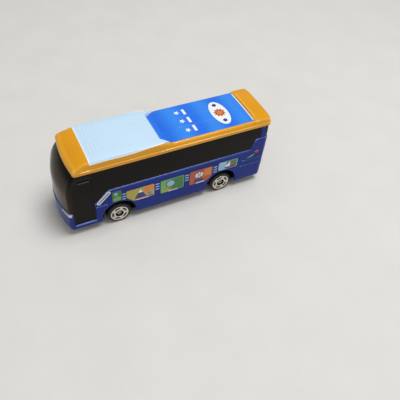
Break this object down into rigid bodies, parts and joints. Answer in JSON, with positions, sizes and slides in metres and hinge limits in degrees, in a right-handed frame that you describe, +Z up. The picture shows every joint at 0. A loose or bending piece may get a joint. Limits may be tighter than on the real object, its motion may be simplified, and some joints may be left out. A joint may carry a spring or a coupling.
{
  "type": "toy bus",
  "caption": "Toy tour bus with a blue cast body, domed yellow roof, dark wrap-round windows, roof and side labels, and four free-turning wheels.",
  "frame": {"origin": "on the ground under the middle of the bus", "axes": "+X forward, +Y to the bus's left, +Z up"},
  "size_m": [0.0796, 0.021, 0.0327],
  "materials": {
    "body_paint": "gloss metallic enamel",
    "roof_paint": "gloss enamel",
    "smoked_plastic": "clear gloss, smoked",
    "seat_plastic": "satin moulded",
    "base_plastic": "satin moulded",
    "steel": "drawn wire",
    "wheel_plastic": "satin moulded",
    "hub_foil": "hot-stamped foil",
    "pale_label": "gloss paper label",
    "blue_label": "gloss paper label",
    "side_print": "gloss print",
    "silver_trim": "silver paint",
    "lamp_silver": "silver paint",
    "lamp_red": "gloss paint"
  },
  "bodies": {
    "bus": {"body_casting": "body_paint", "roof_casting": "roof_paint", "window_insert": "smoked_plastic", "rear_window": "smoked_plastic", "seat_tray": "seat_plastic", "chassis_base": "base_plastic", "base_rivets": "steel", "front_axle": "steel", "rear_axle": "steel", "roof_label_front": "pale_label", "roof_label_rear": "blue_label", "side_prints_left": "side_print", "side_prints_right": "side_print", "quarter_trim_left": "silver_trim", "quarter_trim_right": "silver_trim", "headlamp_left": "lamp_silver", "headlamp_right": "lamp_silver", "tail_lamp_left": "lamp_red", "tail_lamp_right": "lamp_red"},
    "wheel_front_left": {"wheel_front_left": "wheel_plastic", "foil_front_left": "hub_foil"},
    "wheel_front_right": {"wheel_front_right": "wheel_plastic", "foil_front_right": "hub_foil"},
    "wheel_rear_left": {"wheel_rear_left": "wheel_plastic", "foil_rear_left": "hub_foil"},
    "wheel_rear_right": {"wheel_rear_right": "wheel_plastic", "foil_rear_right": "hub_foil"}
  },
  "joints": [
    {"name": "front_left_roll", "type": "hinge", "parent": "bus", "child": "wheel_front_left", "pos_m": [0.0201, 0.0083, 0.0044], "axis": [0, 1, 0], "continuous": true},
    {"name": "front_right_roll", "type": "hinge", "parent": "bus", "child": "wheel_front_right", "pos_m": [0.0201, -0.0083, 0.0044], "axis": [0, 1, 0], "continuous": true},
    {"name": "rear_left_roll", "type": "hinge", "parent": "bus", "child": "wheel_rear_left", "pos_m": [-0.0211, 0.0083, 0.0044], "axis": [0, 1, 0], "continuous": true},
    {"name": "rear_right_roll", "type": "hinge", "parent": "bus", "child": "wheel_rear_right", "pos_m": [-0.0211, -0.0083, 0.0044], "axis": [0, 1, 0], "continuous": true}
  ]
}
